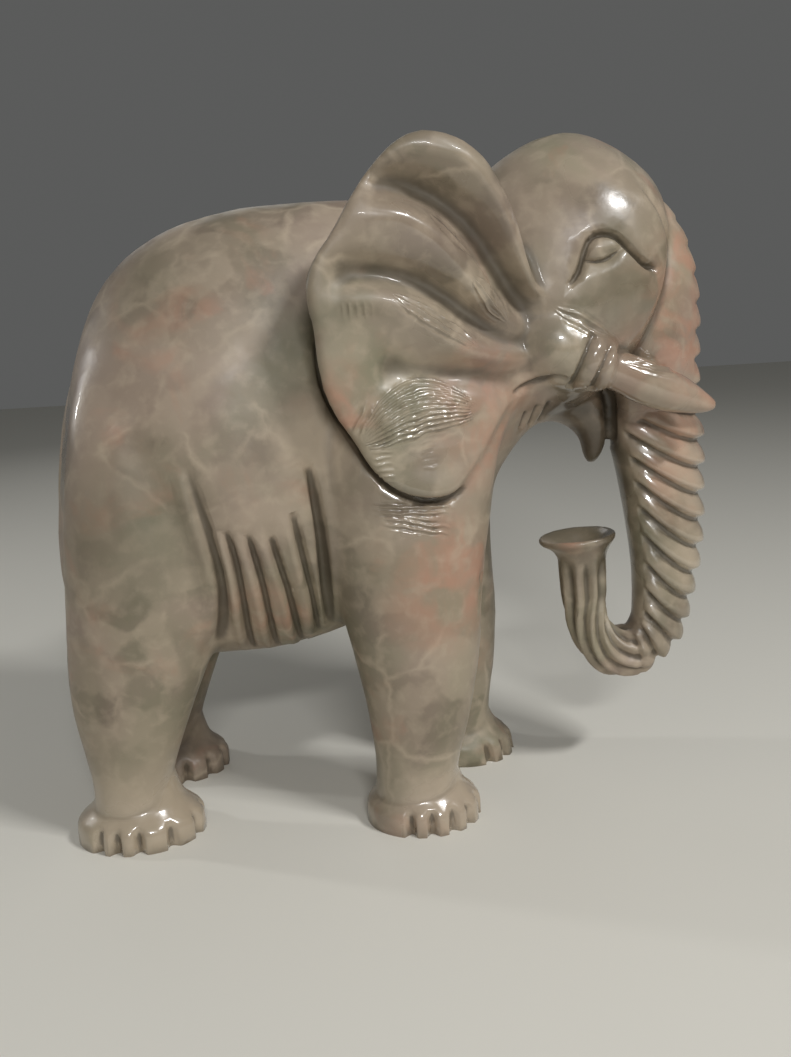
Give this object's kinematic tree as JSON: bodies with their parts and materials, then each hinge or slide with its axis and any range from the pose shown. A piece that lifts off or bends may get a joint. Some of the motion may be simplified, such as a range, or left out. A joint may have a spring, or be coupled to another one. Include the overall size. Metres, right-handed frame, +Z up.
{
  "type": "carved elephant figure",
  "caption": "Polished stone elephant standing on its feet, with spread ears, short tusks and a ridged trunk that curls up at its tip; a decorative figure for a shelf or table.",
  "frame": {"origin": "middle of the bounding box, at the level of the soles", "axes": "+X the way the elephant looks, +Y towards its left side, +Z up"},
  "size_m": [0.3116, 0.1578, 0.3075],
  "materials": {
    "marble": "polished"
  },
  "bodies": {
    "root": {"elephant": "marble"}
  },
  "joints": []
}
